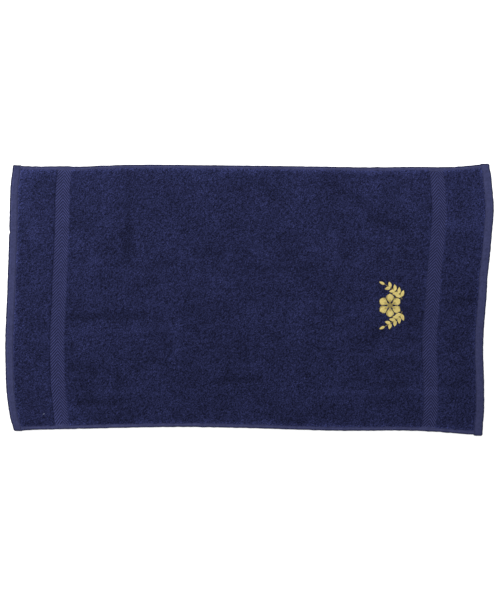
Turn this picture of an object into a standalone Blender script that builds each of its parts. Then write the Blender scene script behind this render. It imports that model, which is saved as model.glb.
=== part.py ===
"""Bath towel laid out flat: one sheet of terry cloth with a flat woven band near each end.

Metres, +Z up. The towel's length runs along X and its width along Y, and it lies on the plane z = 0.
"""

from collections import namedtuple

import bmesh
import bpy
import numpy as np

# Size of the cloth between its straight corner-to-corner lines
LENGTH = 1.262
WIDTH = 0.716

# Pile and hems: heights above the surface, and widths measured inwards from the edge that they follow
TERRY_HEIGHT = 0.0039
TERRY_SHOULDER = 0.0036
HEM_HEIGHT = 0.0027
HEM_GROOVE_HEIGHT = 0.0020
END_HEM_WIDTH = 0.0220
SIDE_HEM_WIDTH = 0.0100
HEM_END_OVERHANG = 0.0022
CORNER_RADIUS = 0.0045

# Flat woven bands: each lies round the line of its chevrons' points, given from the nearer end
POINT_LINE_LEFT = 0.1380
POINT_LINE_RIGHT = 0.1409
BAND_TOP = 0.0022
BAND_UNDERSIDE = 0.0007
LEFT_ARM = 0.0184
RIGHT_ARM = 0.0152
RIB_END = 0.0016
LEFT_BORDER = 0.0010
RIGHT_BORDER = 0.0020

# Chevrons: ribs with their points towards +Y, whose two arms fall at their own slopes
CHEVRON_PITCH = 0.00845
LEFT_ARM_SLOPE = 0.95
RIGHT_ARM_SLOPE = 1.30
RIB_HEIGHT = 0.00025

# Distance between two columns or rows of points: a share of the distance from the edge, within two limits
GRID_GROWTH = 0.45
FINEST_STEP = 0.0130
WIDEST_STEP = 0.0340

Corner = namedtuple("Corner", "x y")
BACK_LEFT = Corner(-0.6300, 0.3572)
BACK_RIGHT = Corner(0.6380, 0.3602)
FRONT_LEFT = Corner(-0.6270, -0.3470)
FRONT_RIGHT = Corner(0.6200, -0.3592)

# How far each edge bows outwards from the straight line between its corners
Bow = namedtuple("Bow", "share out")
BACK_EDGE = (
    Bow(0.000, 0.0000),
    Bow(0.058, -0.0026),
    Bow(0.100, -0.0019),
    Bow(0.142, -0.0033),
    Bow(0.184, -0.0010),
    Bow(0.226, 0.0004),
    Bow(0.310, 0.0012),
    Bow(0.394, -0.0001),
    Bow(0.478, -0.0015),
    Bow(0.561, -0.0029),
    Bow(0.646, -0.0049),
    Bow(0.730, -0.0071),
    Bow(0.772, -0.0067),
    Bow(0.814, -0.0063),
    Bow(0.856, -0.0061),
    Bow(0.898, -0.0070),
    Bow(0.940, -0.0052),
    Bow(0.982, -0.0004),
    Bow(1.000, 0.0000),
)
FRONT_EDGE = (
    Bow(0.000, 0.0000),
    Bow(0.014, 0.0000),
    Bow(0.056, -0.0025),
    Bow(0.099, -0.0040),
    Bow(0.184, -0.0080),
    Bow(0.270, -0.0113),
    Bow(0.355, -0.0134),
    Bow(0.441, -0.0132),
    Bow(0.526, -0.0117),
    Bow(0.612, -0.0090),
    Bow(0.697, -0.0075),
    Bow(0.783, -0.0091),
    Bow(0.825, -0.0096),
    Bow(0.868, -0.0090),
    Bow(0.911, -0.0066),
    Bow(0.953, -0.0028),
    Bow(0.980, -0.0005),
    Bow(1.000, 0.0000),
)
LEFT_END = (
    Bow(0.000, 0.0000),
    Bow(0.016, 0.0022),
    Bow(0.038, 0.0076),
    Bow(0.083, 0.0136),
    Bow(0.128, 0.0178),
    Bow(0.175, 0.0203),
    Bow(0.245, 0.0215),
    Bow(0.330, 0.0221),
    Bow(0.400, 0.0204),
    Bow(0.500, 0.0168),
    Bow(0.590, 0.0138),
    Bow(0.690, 0.0111),
    Bow(0.785, 0.0094),
    Bow(0.850, 0.0084),
    Bow(0.900, 0.0071),
    Bow(0.945, 0.0044),
    Bow(0.985, 0.0004),
    Bow(1.000, 0.0000),
)
RIGHT_END = (
    Bow(0.000, 0.0000),
    Bow(0.034, 0.0002),
    Bow(0.100, 0.0027),
    Bow(0.145, 0.0019),
    Bow(0.210, 0.0003),
    Bow(0.277, -0.0028),
    Bow(0.333, -0.0040),
    Bow(0.387, -0.0033),
    Bow(0.453, -0.0009),
    Bow(0.519, 0.0019),
    Bow(0.585, 0.0033),
    Bow(0.630, 0.0060),
    Bow(0.695, 0.0098),
    Bow(0.762, 0.0127),
    Bow(0.806, 0.0149),
    Bow(0.842, 0.0149),
    Bow(0.872, 0.0131),
    Bow(0.916, 0.0094),
    Bow(0.960, 0.0053),
    Bow(0.984, 0.0013),
    Bow(1.000, 0.0000),
)

# Near the front edge the weave is drawn a little towards -X, less in the corners and away from the edge
FRONT_DRAG = 0.0050
DRAG_REACH = 0.031
DRAG_CORNER = 0.09

# A step of a profile: its distance in from the edge, the heights of the two surfaces there and, on the
# chevrons, how far an arm has fallen from its point
Step = namedtuple("Step", "inset top underside fall", defaults=(None,))
ROLLED_EDGE = (
    Step(0.0000, 0.0017, 0.0008),
    Step(0.0009, 0.0025, 0.0002),
    Step(0.0021, 0.0028, 0.0000),
    Step(0.0036, 0.0024, 0.0000),
)

# Soft creases left by folding, as a low trough (negative) or ridge along a line on the cloth
Crease = namedtuple("Crease", "from_x from_y to_x to_y half_width height")
CREASES = (
    Crease(-0.318, 0.341, -0.320, 0.180, 0.020, -0.0007),
    Crease(-0.324, 0.175, -0.322, 0.105, 0.034, -0.0009),
    Crease(-0.418, 0.110, -0.417, 0.076, 0.034, 0.0009),
    Crease(-0.284, 0.069, -0.196, 0.074, 0.024, 0.0007),
    Crease(-0.478, -0.046, -0.284, -0.043, 0.026, -0.0009),
    Crease(-0.473, -0.086, -0.200, -0.080, 0.028, 0.0007),
    Crease(-0.194, -0.067, -0.198, -0.146, 0.024, 0.0006),
    Crease(-0.470, -0.173, -0.412, -0.190, 0.028, -0.0008),
    Crease(-0.350, -0.190, -0.345, -0.226, 0.030, -0.0009),
    Crease(-0.452, -0.272, -0.332, -0.271, 0.026, -0.0008),
    Crease(-0.252, -0.155, -0.217, -0.176, 0.026, -0.0007),
    Crease(-0.092, -0.216, 0.022, -0.211, 0.024, -0.0007),
    Crease(0.214, -0.250, 0.600, -0.243, 0.026, 0.0008),
    Crease(0.347, -0.139, 0.459, -0.146, 0.026, 0.0007),
    Crease(0.334, -0.176, 0.390, -0.173, 0.026, -0.0008),
    Crease(-0.012, 0.085, 0.166, 0.084, 0.026, -0.0006),
    Crease(0.228, 0.173, 0.233, 0.101, 0.026, 0.0008),
    Crease(0.329, 0.218, 0.409, 0.192, 0.030, -0.0009),
    Crease(0.241, 0.287, 0.307, 0.258, 0.028, -0.0007),
    Crease(0.033, 0.306, 0.060, 0.274, 0.032, -0.0006),
    Crease(-0.571, 0.200, -0.563, 0.160, 0.036, 0.0007),
    Crease(0.534, 0.200, 0.600, 0.198, 0.034, 0.0007),
    Crease(0.534, -0.002, 0.600, -0.001, 0.028, -0.0007),
)

# A column or row of points: its share of the way over the cloth, then the values of its profile's step
Station = namedtuple("Station", "share inset top underside fall")

# A point of a column: its share of the way up the column, its place among the chevrons and its vertex
Point = namedtuple("Point", "across rib vertex")

NAVY = (0.019, 0.022, 0.064, 1.0)


def clear_scene():
    for thing in list(bpy.data.objects):
        bpy.data.objects.remove(thing, do_unlink=True)


def smooth_through(rows, share):
    """Distance outwards at a share along an edge, on a smooth curve through the table's rows."""
    shares = [row.share for row in rows]
    values = [row.out for row in rows]
    slopes = np.gradient(values, shares)
    high = min(int(np.searchsorted(shares, share, side="right")), len(rows) - 1)
    low = high - 1
    span = shares[high] - shares[low]
    t = (share - shares[low]) / span
    start = values[low] * (1 + 2 * t) * (1 - t) ** 2 + slopes[low] * span * t * (1 - t) ** 2
    end = values[high] * (3 - 2 * t) * t**2 - slopes[high] * span * (1 - t) * t**2
    return start + end


def bowed_edge(start, end, rows, outwards, share, overhang=0.0):
    """Point at a share of the way from one corner to the next, moved outwards by the edge's bow."""
    out = smooth_through(rows, share) + overhang
    x = start.x + share * (end.x - start.x) + out * outwards[0]
    y = start.y + share * (end.y - start.y) + out * outwards[1]
    return np.array((x, y))


def place_on_cloth(along, across):
    """Point of the flat cloth between its four bowed edges: a Coons patch.

    The ends of the two end hems stand out a little past the side hems.
    """
    from_corner = min(1, min(along, 1 - along) / DRAG_CORNER)
    drag = FRONT_DRAG * from_corner**2 * np.exp(-((across * WIDTH / DRAG_REACH) ** 2))
    on_end_hem = min(along, 1 - along) * LENGTH < END_HEM_WIDTH + CORNER_RADIUS / 4
    overhang = HEM_END_OVERHANG if on_end_hem else 0.0
    front = bowed_edge(FRONT_LEFT, FRONT_RIGHT, FRONT_EDGE, (0, -1), along, overhang)
    back = bowed_edge(BACK_LEFT, BACK_RIGHT, BACK_EDGE, (0, 1), along, overhang)
    left = bowed_edge(FRONT_LEFT, BACK_LEFT, LEFT_END, (-1, 0), across)
    right = bowed_edge(FRONT_RIGHT, BACK_RIGHT, RIGHT_END, (1, 0), across)
    corners = (
        (1 - along) * (1 - across) * np.array(FRONT_LEFT)
        + along * (1 - across) * np.array(FRONT_RIGHT)
        + (1 - along) * across * np.array(BACK_LEFT)
        + along * across * np.array(BACK_RIGHT)
    )
    patch = (1 - across) * front + across * back + (1 - along) * left + along * right - corners
    return patch - (drag, 0)


def hem_profile(width):
    """Rolled edge, flat folded hem, stitch groove and the pile's shoulder."""
    return list(ROLLED_EDGE) + [
        Step(0.55 * width, HEM_HEIGHT, 0.0),
        Step(width - 0.0024, HEM_HEIGHT, 0.0),
        Step(width - 0.0008, HEM_GROOVE_HEIGHT, 0.0),
        Step(width, HEM_HEIGHT, 0.0),
        Step(width + TERRY_SHOULDER, TERRY_HEIGHT, 0.0),
    ]


def band_profile(point_line, towards):
    """Band between two shoulders of the pile; towards is 1 where the inset grows along +X, or else -1."""
    steps = [
        Step(-LEFT_ARM - LEFT_BORDER - TERRY_SHOULDER, TERRY_HEIGHT, 0.0),
        Step(-LEFT_ARM - LEFT_BORDER, BAND_TOP, BAND_UNDERSIDE),
    ]
    left_arm = (-LEFT_ARM, RIB_END - LEFT_ARM, -LEFT_ARM / 2)
    right_arm = (RIGHT_ARM / 2, RIGHT_ARM - RIB_END, RIGHT_ARM)
    for offset in (*left_arm, 0.0, *right_arm):
        slope = LEFT_ARM_SLOPE if offset < 0 else RIGHT_ARM_SLOPE
        steps.append(Step(offset, BAND_TOP, BAND_UNDERSIDE, abs(offset) * slope))
    steps.append(Step(RIGHT_ARM + RIGHT_BORDER, BAND_TOP, BAND_UNDERSIDE))
    steps.append(Step(RIGHT_ARM + RIGHT_BORDER + TERRY_SHOULDER, TERRY_HEIGHT, 0.0))
    steps = [step._replace(inset=point_line + towards * step.inset) for step in steps]
    return steps[::towards]


def filled(profile, limit):
    """The profile with plain terry steps added up to the limit, and in gaps wider than the grid's step."""
    steps = profile + [Step(limit, TERRY_HEIGHT, 0.0)]
    dense = [steps[0]]
    for after in steps[1:]:
        gap = after.inset - dense[-1].inset
        while gap > WIDEST_STEP or gap > 1.5 * max(FINEST_STEP, GRID_GROWTH * dense[-1].inset):
            step = min(WIDEST_STEP, max(FINEST_STEP, GRID_GROWTH * dense[-1].inset), gap / 2)
            dense.append(Step(dense[-1].inset + step, TERRY_HEIGHT, 0.0))
            gap = after.inset - dense[-1].inset
        dense.append(after)
    return dense


def stations(low_profile, high_profile, extent):
    """Stations from one edge of the cloth to the other, whose two profiles meet at its middle."""
    low = [Station(step.inset / extent, *step) for step in filled(low_profile, extent / 2)]
    high = [Station(1 - step.inset / extent, *step) for step in filled(high_profile, extent / 2)]
    return low + high[-2::-1]


def crease_height(x, y):
    """Sum of the soft troughs and ridges at a place on the cloth."""
    total = 0.0
    for crease in CREASES:
        start = np.array((crease.from_x, crease.from_y))
        run = np.array((crease.to_x, crease.to_y)) - start
        share = np.clip(np.dot((x, y) - start, run) / np.dot(run, run), 0, 1)
        reach = np.linalg.norm((x, y) - start - share * run) / crease.half_width
        if reach < 1:
            total += crease.height * (1 - reach**2) ** 2
    return total


def rounded(column, row):
    """Shares of a grid point, with the points near a corner drawn in to round it off."""
    depth_x = CORNER_RADIUS - column.inset
    depth_y = CORNER_RADIUS - row.inset
    if min(depth_x, depth_y) <= 0:
        return column.share, row.share
    pull = 1 - max(depth_x, depth_y) / np.hypot(depth_x, depth_y)
    step_x = pull * depth_x / LENGTH
    step_y = pull * depth_y / WIDTH
    along = column.share + (step_x if column.share < 0.5 else -step_x)
    across = row.share + (step_y if row.share < 0.5 else -step_y)
    return along, across


def upper_vertex(sheet, column, row, raised=0.0):
    """Point on the face that shows, lifted by the creases in proportion to the cloth's thickness there."""
    x, y = place_on_cloth(*rounded(column, row))
    top = min(column.top, row.top)
    thickness = top - max(column.underside, row.underside)
    return sheet.verts.new((x, y, top + raised + thickness / TERRY_HEIGHT * crease_height(x, y)))


def lower_vertex(sheet, column, row):
    """Point on the face that lies on the surface."""
    x, y = place_on_cloth(*rounded(column, row))
    return sheet.verts.new((x, y, max(column.underside, row.underside)))


def plain_points(column, rows, make_vertex, sheet):
    """A column's points, one for each row."""
    return [Point(row.share, row.share, make_vertex(sheet, column, row)) for row in rows]


def ribbed_points(column, rows, sheet, rib_height):
    """A column's points in the two side hems, and between them at each crest and hollow of the chevrons."""
    hem = SIDE_HEM_WIDTH + TERRY_SHOULDER
    points = []
    for row in rows:
        if row.inset < hem + CHEVRON_PITCH / 8:
            order = row.share - 1 if row.share < 0.5 else np.inf
            points.append(Point(row.share, order, upper_vertex(sheet, column, row)))
    for rib in range(int(2 * (WIDTH + column.fall) / CHEVRON_PITCH)):
        place = rib * CHEVRON_PITCH / 2 - column.fall
        inset = min(place, WIDTH - place)
        if inset > hem + CHEVRON_PITCH / 4:
            row = Station(place / WIDTH, inset, TERRY_HEIGHT, 0.0, None)
            raised = rib_height if rib % 2 else -rib_height
            points.append(Point(row.share, rib, upper_vertex(sheet, column, row, raised)))
    return sorted(points, key=lambda point: point.across)


def zip_columns(sheet, left, right, order):
    """Faces between two columns: a quad where both have the next point, a triangle where one has it."""
    i = 0
    j = 0
    while i + 1 < len(left) or j + 1 < len(right):
        next_left = getattr(left[i + 1], order) if i + 1 < len(left) else np.inf
        next_right = getattr(right[j + 1], order) if j + 1 < len(right) else np.inf
        corners = [left[i].vertex, right[j].vertex]
        if next_right <= next_left and j + 1 < len(right):
            j += 1
            corners.append(right[j].vertex)
        if next_left <= next_right and i + 1 < len(left):
            i += 1
            corners.append(left[i].vertex)
        sheet.faces.new(corners)


def cloth_mesh(columns, rows):
    """Closed sheet: an upper and a lower layer of faces between columns of points, joined round the rim."""
    sheet = bmesh.new()
    upper = []
    lower = []
    for index, column in enumerate(columns):
        lower.append(plain_points(column, rows, lower_vertex, sheet))
        if column.fall is None:
            upper.append(plain_points(column, rows, upper_vertex, sheet))
        else:
            at_rib_ends = None in (columns[index - 1].fall, columns[index + 1].fall)
            upper.append(ribbed_points(column, rows, sheet, 0.0 if at_rib_ends else RIB_HEIGHT))
    for index in range(len(columns) - 1):
        on_chevrons = None not in (columns[index].fall, columns[index + 1].fall)
        zip_columns(sheet, upper[index], upper[index + 1], "rib" if on_chevrons else "across")
        zip_columns(sheet, lower[index], lower[index + 1], "across")
    bmesh.ops.bridge_loops(sheet, edges=[edge for edge in sheet.edges if edge.is_boundary])
    bmesh.ops.recalc_face_normals(sheet, faces=sheet.faces[:])
    mesh = bpy.data.meshes.new("towel")
    sheet.to_mesh(mesh)
    sheet.free()
    return mesh


def centre_on_origin(mesh):
    """Moves the mesh so that the middle of its box is over the origin."""
    places = np.array([vertex.co for vertex in mesh.vertices])
    middle = (places.min(axis=0) + places.max(axis=0)) / 2
    for vertex in mesh.vertices:
        vertex.co.x -= middle[0]
        vertex.co.y -= middle[1]


def terry_material():
    material = bpy.data.materials.new("navy_terry")
    material.use_nodes = True
    shader = material.node_tree.nodes["Principled BSDF"]
    shader.inputs["Base Color"].default_value = NAVY
    shader.inputs["Roughness"].default_value = 0.95
    shader.inputs["Metallic"].default_value = 0.0
    material.diffuse_color = NAVY
    return material


def make_towel():
    columns = stations(
        hem_profile(END_HEM_WIDTH) + band_profile(POINT_LINE_LEFT, 1),
        hem_profile(END_HEM_WIDTH) + band_profile(POINT_LINE_RIGHT, -1),
        LENGTH,
    )
    side = hem_profile(SIDE_HEM_WIDTH)
    rows = stations(side, side, WIDTH)
    mesh = cloth_mesh(columns, rows)
    centre_on_origin(mesh)
    mesh.materials.append(terry_material())
    mesh.shade_smooth()
    towel = bpy.data.objects.new("towel", mesh)
    bpy.context.scene.collection.objects.link(towel)


def main():
    clear_scene()
    make_towel()


main()
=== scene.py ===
"""Bath towel laid out flat: terry pile, two flat woven chevron bands, folded hems and gold embroidery.

Metres, +Z up. The towel's length runs along X and its width along Y, and it lies on the plane z = 0. A place
on the cloth is given as s and t: the distance along the cloth from its left end and across it from its front
edge, before its edges bow.
"""

import logging
import math
from dataclasses import dataclass, field
from enum import Enum

import bpy
import numpy as np
from numpy.typing import NDArray
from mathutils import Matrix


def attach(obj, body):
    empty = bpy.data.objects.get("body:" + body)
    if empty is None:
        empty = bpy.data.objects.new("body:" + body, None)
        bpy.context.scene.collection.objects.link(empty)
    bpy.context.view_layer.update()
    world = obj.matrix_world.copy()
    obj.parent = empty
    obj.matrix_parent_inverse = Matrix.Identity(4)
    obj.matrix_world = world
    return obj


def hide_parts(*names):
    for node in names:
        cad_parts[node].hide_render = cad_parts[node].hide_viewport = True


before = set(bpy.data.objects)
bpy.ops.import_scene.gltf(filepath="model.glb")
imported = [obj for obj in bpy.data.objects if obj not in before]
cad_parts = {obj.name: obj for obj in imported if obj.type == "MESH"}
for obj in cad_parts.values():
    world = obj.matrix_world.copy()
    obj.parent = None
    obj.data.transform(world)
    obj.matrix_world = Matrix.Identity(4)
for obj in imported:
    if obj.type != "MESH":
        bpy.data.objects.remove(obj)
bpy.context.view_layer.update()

LOG = logging.getLogger("bath towel")

Array = NDArray[np.float64]
Colour = tuple[float, float, float]
Point = tuple[float, float, float]
Place = tuple[float, float]

NODE = "towel"
BODY = "root"
BAKE_MAP = "OFBake"
NOISE_SPREAD = 0.6
SPARE_KNOTS = 4
HEM_FOLD_SHARE = 0.6
TINY = 1e-9


class Signal:
    """One output socket of a material's node tree, on which arithmetic adds Math nodes."""

    def __init__(self, graph: "Graph", socket: bpy.types.NodeSocket) -> None:
        """Wraps a socket of the given graph."""
        self.graph = graph
        self.socket = socket

    def _math(self, operation: str, first: object, second: object) -> "Signal":
        """Result of a Math node of the given operation on two values or signals."""
        return self.graph.node("ShaderNodeMath", {"operation": operation}, {0: first, 1: second})

    def __add__(self, other: object) -> "Signal":
        """Sum."""
        return self._math("ADD", self, other)

    def __radd__(self, other: object) -> "Signal":
        """Sum, with the signal on the right."""
        return self._math("ADD", other, self)

    def __sub__(self, other: object) -> "Signal":
        """Difference."""
        return self._math("SUBTRACT", self, other)

    def __rsub__(self, other: object) -> "Signal":
        """Difference, with the signal on the right."""
        return self._math("SUBTRACT", other, self)

    def __mul__(self, other: object) -> "Signal":
        """Product."""
        return self._math("MULTIPLY", self, other)

    def __rmul__(self, other: object) -> "Signal":
        """Product, with the signal on the right."""
        return self._math("MULTIPLY", other, self)

    def __pow__(self, other: object) -> "Signal":
        """Power."""
        return self._math("POWER", self, other)


@dataclass(frozen=True)
class Grain:
    """Noise in a finish: its features in a metre, its octaves and how much it changes the tone."""

    scale: float
    octaves: float
    contrast: float


class Graph:
    """The node tree of one new material."""

    def __init__(self, name: str) -> None:
        """Makes the material and keeps its tree and its shader."""
        self.material = bpy.data.materials.new(name)
        self.material.use_nodes = True
        self.tree = self.material.node_tree
        self.shader = self.tree.nodes["Principled BSDF"]

    def feed(self, socket: bpy.types.NodeSocket, value: object) -> None:
        """Links a signal to a socket, or sets the socket to a value."""
        if isinstance(value, Signal):
            self.tree.links.new(value.socket, socket)
        else:
            socket.default_value = value

    def node(
        self,
        kind: str,
        settings: dict[str, object] | None = None,
        values: dict[str | int, object] | None = None,
        output: str | int = 0,
    ) -> Signal:
        """Adds a node.

        Args:
            kind: The node's type.
            settings: Its settings, which are set first.
            values: The values or signals of its sockets, by name or number.
            output: The name or number of the output that is wanted.

        Returns:
            That output.
        """
        made = self.tree.nodes.new(kind)
        for key, value in (settings or {}).items():
            setattr(made, key, value)
        for key, value in (values or {}).items():
            self.feed(made.inputs[key], value)
        return Signal(self, made.outputs[output])

    def attribute(self, name: str) -> Signal:
        """Value of a mesh attribute."""
        return self.node("ShaderNodeAttribute", {"attribute_name": name}, output="Fac")

    def stretched_place(self, stretch: Point) -> Signal:
        """Place on the object, multiplied along each axis."""
        place = self.node("ShaderNodeTexCoord", output="Object")
        return self.node("ShaderNodeVectorMath", {"operation": "MULTIPLY"}, {0: place, 1: stretch})

    def noise(self, place: Signal, grain: Grain) -> Signal:
        """Noise about zero, from -0.5 to 0.5, of a given grain."""
        values = {"Vector": place, "Scale": grain.scale, "Detail": grain.octaves}
        return self.node("ShaderNodeTexNoise", {"noise_dimensions": "3D"}, values) - 0.5

    def shaded(self, colour: Colour, tone: Signal) -> Signal:
        """The colour multiplied by a tone."""
        settings = {"data_type": "RGBA", "blend_type": "MULTIPLY"}
        return self.node("ShaderNodeMix", settings, {0: 1.0, 6: (*colour, 1.0), 7: tone}, output=2)

    def bump(self, height: Signal, depth: float, strength: float) -> Signal:
        """Normal bent by a height of the given depth in metres."""
        return self.node("ShaderNodeBump", None, {"Height": height, "Distance": depth, "Strength": strength})

    def dress(self, values: dict[str, object]) -> bpy.types.Material:
        """Sets or links the shader's sockets and returns the material."""
        for key, value in values.items():
            self.feed(self.shader.inputs[key], value)
        return self.material


@dataclass(frozen=True)
class TerryFinish:
    """Looped cotton pile: painted shade between its tufts and loops, with patches where the pile lies another
    way.
    """

    name: str = "navy_terry_pile"
    colour: Colour = (0.0215, 0.0255, 0.0832)
    pit_painted_shade: float = 0.55
    crease_painted_shade: float = 0.22
    patches: Grain = Grain(11.0, 3.0, 0.85)
    streaks: Grain = Grain(60.0, 2.0, 0.45)
    streak_stretch: Point = (0.30, 1.0, 1.0)
    loop_lean: float = 0.75
    loop_stretch: Point = (1.5, 1.0, 1.0)
    middle_gap: float = 0.43
    loop_scale: float = 430.0
    loop_gap_painted_shade: float = 0.90
    loop_gap_depth: float = 0.5
    strand_scale: float = 1000.0
    strand_gap_painted_shade: float = 1.00
    strand_gap_depth: float = 0.6
    clumps: Grain = Grain(430.0, 1.0, 2.55)
    clump_power: float = 1.45
    tuft_lift: float = 0.2
    bump_depth: float = 0.0006
    bump_strength: float = 0.7
    roughness: float = 0.95
    specular: float = 0.06
    sheen: float = 0.05
    sheen_roughness: float = 0.6
    sheen_tint: Colour = (0.25, 0.28, 0.60)

    def material(self) -> bpy.types.Material:
        """Builds the material."""
        graph = Graph(self.name)
        place = graph.stretched_place((1.0, 1.0, 1.0))
        streaked = graph.stretched_place(self.streak_stretch)
        tufts, creases_with_painted_shade = graph.attribute("relief_painted_shade"), graph.attribute("painted_crease_shade")
        patches = graph.noise(place, self.patches) * self.patches.contrast
        patches = patches + graph.noise(streaked, self.streaks) * self.streaks.contrast
        turn = (0.0, 0.0, self.loop_lean)
        leaning = graph.node(
            "ShaderNodeMapping",
            {"vector_type": "TEXTURE"},
            {"Vector": place, "Rotation": turn, "Scale": self.loop_stretch},
        )
        gaps, strands = (
            graph.node("ShaderNodeTexVoronoi", None, {"Vector": leaning, "Scale": scale})
            for scale in (self.loop_scale, self.strand_scale)
        )
        clumps = graph.noise(leaning, self.clumps)
        # Painted shade: the pits between the tufts are darker and the tufts' tops lighter.
        tone = self.pit_painted_shade + (1.0 - self.pit_painted_shade) * tufts
        # Painted shade in the crease troughs and painted light on their ridges.
        tone = tone * (1.0 + creases_with_painted_shade * self.crease_painted_shade) * (1.0 + patches)
        tone = tone * (1.0 + clumps * self.clumps.contrast) ** self.clump_power
        # Painted shade in the gaps between the loops and between the strands.
        tone = tone * (1.0 + (self.middle_gap - gaps) * self.loop_gap_painted_shade)
        tone = tone * (1.0 + (self.middle_gap - strands) * self.strand_gap_painted_shade)
        height = clumps - gaps * self.loop_gap_depth - strands * self.strand_gap_depth
        height = height + tufts * self.tuft_lift
        return graph.dress({
            "Base Color": graph.shaded(self.colour, tone),
            "Roughness": self.roughness,
            "Specular IOR Level": self.specular,
            "Sheen Weight": self.sheen,
            "Sheen Roughness": self.sheen_roughness,
            "Sheen Tint": (*self.sheen_tint, 1.0),
            "Normal": graph.bump(height, self.bump_depth, self.bump_strength),
        })


@dataclass(frozen=True)
class WovenFinish:
    """Flat woven cotton, with painted shade in the grooves and on the rims of its ribs, beads and hems and
    painted light on their tops; on the bands partly the weave's own lighter floats.
    """

    name: str
    colour: Colour
    painted_groove_shade: float
    thread_scale: Point
    threads: Grain = Grain(1.0, 1.0, 0.35)
    patches: Grain = Grain(30.0, 3.0, 0.35)
    mottle: Grain = Grain(240.0, 2.0, 0.90)
    crease_painted_shade: float = 0.15
    bump_depth: float = 0.0003
    bump_strength: float = 0.5
    roughness: float = 0.85
    specular: float = 0.05

    def material(self) -> bpy.types.Material:
        """Builds the material."""
        graph = Graph(self.name)
        place = graph.stretched_place((1.0, 1.0, 1.0))
        threads = graph.noise(graph.stretched_place(self.thread_scale), self.threads)
        relief_painted_shade, creases_with_painted_shade = graph.attribute("relief_painted_shade"), graph.attribute("painted_crease_shade")
        mottle = graph.noise(place, self.patches) * self.patches.contrast
        mottle = mottle + graph.noise(place, self.mottle) * self.mottle.contrast
        # Painted shade: grooves and rims darker, tops lighter; on the bands partly the weave's own lighter
        # floats.
        tone = self.painted_groove_shade + (1.0 - self.painted_groove_shade) * relief_painted_shade
        # Painted shade in the crease troughs and painted light on their ridges.
        tone = tone * (1.0 + creases_with_painted_shade * self.crease_painted_shade) * (1.0 + mottle)
        tone = tone * (1.0 + threads * self.threads.contrast)
        return graph.dress({
            "Base Color": graph.shaded(self.colour, tone),
            "Roughness": self.roughness,
            "Specular IOR Level": self.specular,
            "Normal": graph.bump(threads, self.bump_depth, self.bump_strength),
        })


@dataclass(frozen=True)
class ThreadFinish:
    """Sewing or embroidery thread: fine twist, with a soft gloss."""

    name: str
    colour: Colour
    roughness: float = 0.45
    specular: float = 0.25
    twist: Grain = Grain(1500.0, 2.0, 0.5)
    wear: Grain = Grain(90.0, 3.0, 0.5)
    worn_roughness: float = 0.3
    bump_depth: float = 0.0002
    bump_strength: float = 0.5

    def material(self) -> bpy.types.Material:
        """Builds the material."""
        graph = Graph(self.name)
        place = graph.stretched_place((1.0, 1.0, 1.0))
        twist, wear = graph.noise(place, self.twist), graph.noise(place, self.wear)
        tone = (1.0 + twist * self.twist.contrast) * (1.0 + wear * self.wear.contrast)
        return graph.dress({
            "Base Color": graph.shaded(self.colour, tone),
            "Roughness": self.roughness + wear * self.worn_roughness,
            "Specular IOR Level": self.specular,
            "Normal": graph.bump(twist, self.bump_depth, self.bump_strength),
        })


def smooth_step(value: Array) -> Array:
    """0 below 0, 1 above 1 and a soft rise between."""
    value = np.clip(value, 0.0, 1.0)
    return value * value * (3.0 - 2.0 * value)


def evenly(start: float, stop: float, step: float) -> Array:
    """Places from start to stop, about a step apart."""
    return np.linspace(start, stop, round((stop - start) / step) + 1)


def grid_normals(points: Array) -> Array:
    """Upward unit normals of a grid of points."""
    normals = np.cross(np.gradient(points, axis=0), np.gradient(points, axis=1))
    return normals / np.linalg.norm(normals, axis=-1, keepdims=True)


def soft_noise(shape: tuple[int, ...], axis: int, spacing: float, seed: int) -> Array:
    """Smooth random numbers along one axis of a grid, about 0 and mostly from -1 to 1.

    Args:
        shape: The grid's shape.
        axis: The axis along which they change.
        spacing: Grid lines between two bends.
        seed: Seed of the random draw.

    Returns:
        The numbers, one for each line of the grid.
    """
    rng = np.random.default_rng(seed)
    knots = int(shape[axis] / spacing) + SPARE_KNOTS
    values = rng.normal(0.0, NOISE_SPREAD, knots)
    spread = np.linspace(0.0, knots - 1.0, shape[axis])
    low = np.minimum(spread.astype(int), knots - 2)
    share = smooth_step(spread - low)
    line = values[low] * (1.0 - share) + values[low + 1] * share
    return line[:, None] if axis == 0 else line[None, :]


@dataclass(frozen=True)
class BowedEdge:
    """One edge of the cloth: a line between two corners, bowed by a table of shares and distances."""

    start: Place
    end: Place
    outwards: Place
    rows: tuple[Place, ...]
    seed: int
    fringe: float
    ripple: float = 0.00020
    ripples: tuple[float, ...] = (17.0, 29.0, 43.0, 61.0)

    def bow(self, share: Array) -> Array:
        """Distance outwards on a smooth curve through the table, with small ripples and a thin fringe.

        Args:
            share: Share of the way along the edge.

        Returns:
            The distance at each share.
        """
        shares, values = np.array(self.rows).T
        slopes = np.gradient(values, shares)
        high = np.clip(np.searchsorted(shares, share, side="right"), 1, len(shares) - 1)
        low = high - 1
        span = shares[high] - shares[low]
        u = (share - shares[low]) / span
        first = values[low] * (1 + 2 * u) * (1 - u) ** 2 + slopes[low] * span * u * (1 - u) ** 2
        second = values[high] * (3 - 2 * u) * u**2 - slopes[high] * span * (1 - u) * u**2
        rng = np.random.default_rng(self.seed)
        waves = np.zeros_like(share)
        for cycles in self.ripples:
            waves = waves + np.sin(2 * math.pi * (cycles * share + rng.random()))
        return first + second + self.fringe + self.ripple * waves / math.sqrt(len(self.ripples))

    def points(self, share: Array, overhang: Array) -> tuple[Array, Array]:
        """Points of the edge.

        Args:
            share: Share of the way along the edge.
            overhang: Further distance outwards.

        Returns:
            Their x and y.
        """
        out = self.bow(share) + overhang
        x = self.start[0] + share * (self.end[0] - self.start[0]) + out * self.outwards[0]
        y = self.start[1] + share * (self.end[1] - self.start[1]) + out * self.outwards[1]
        return x, y


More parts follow.
